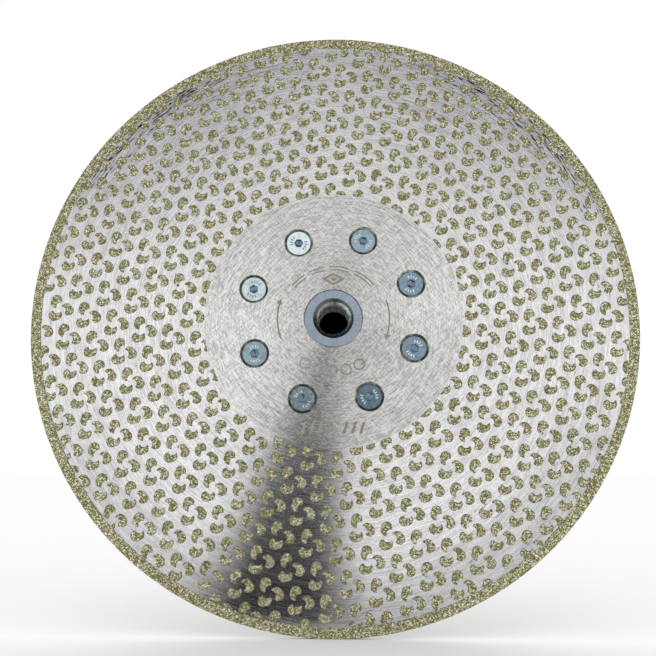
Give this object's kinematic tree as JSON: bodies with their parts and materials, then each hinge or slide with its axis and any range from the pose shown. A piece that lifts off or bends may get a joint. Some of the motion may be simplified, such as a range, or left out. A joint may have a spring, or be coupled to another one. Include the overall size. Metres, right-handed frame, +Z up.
{
  "type": "diamond grinding wheel",
  "caption": "Flat steel cutting and grinding disc with electroplated diamond grit petals and rim band, screwed to a threaded spindle flange.",
  "frame": {"origin": "on the spin axis, in the plane where the flange plate meets the back face of the steel blank", "axes": "+Y along the spin axis, from the grinding face towards the flange boss and the grinder; +Z up and +X to the right as the grinding face is seen from -Y"},
  "size_m": [0.23, 0.0201, 0.23],
  "materials": {
    "blank_steel": "concentric brushed steel",
    "diamond_grit": "rough khaki diamond grit in nickel plating",
    "rim_grit": "rough khaki diamond grit in nickel plating",
    "flange_zinc": "turned steel, blue zinc plated",
    "screw_zinc": "blue zinc plated steel"
  },
  "bodies": {
    "root": {"steel_core": "blank_steel", "front_grit_pattern": "diamond_grit", "back_grit_pattern": "diamond_grit", "rim_grit_band": "rim_grit", "flange_hub": "flange_zinc", "flange_screw_1": "screw_zinc", "flange_screw_2": "screw_zinc", "flange_screw_3": "screw_zinc", "flange_screw_4": "screw_zinc", "flange_screw_5": "screw_zinc", "flange_screw_6": "screw_zinc", "flange_screw_7": "screw_zinc", "flange_screw_8": "screw_zinc"}
  },
  "joints": []
}
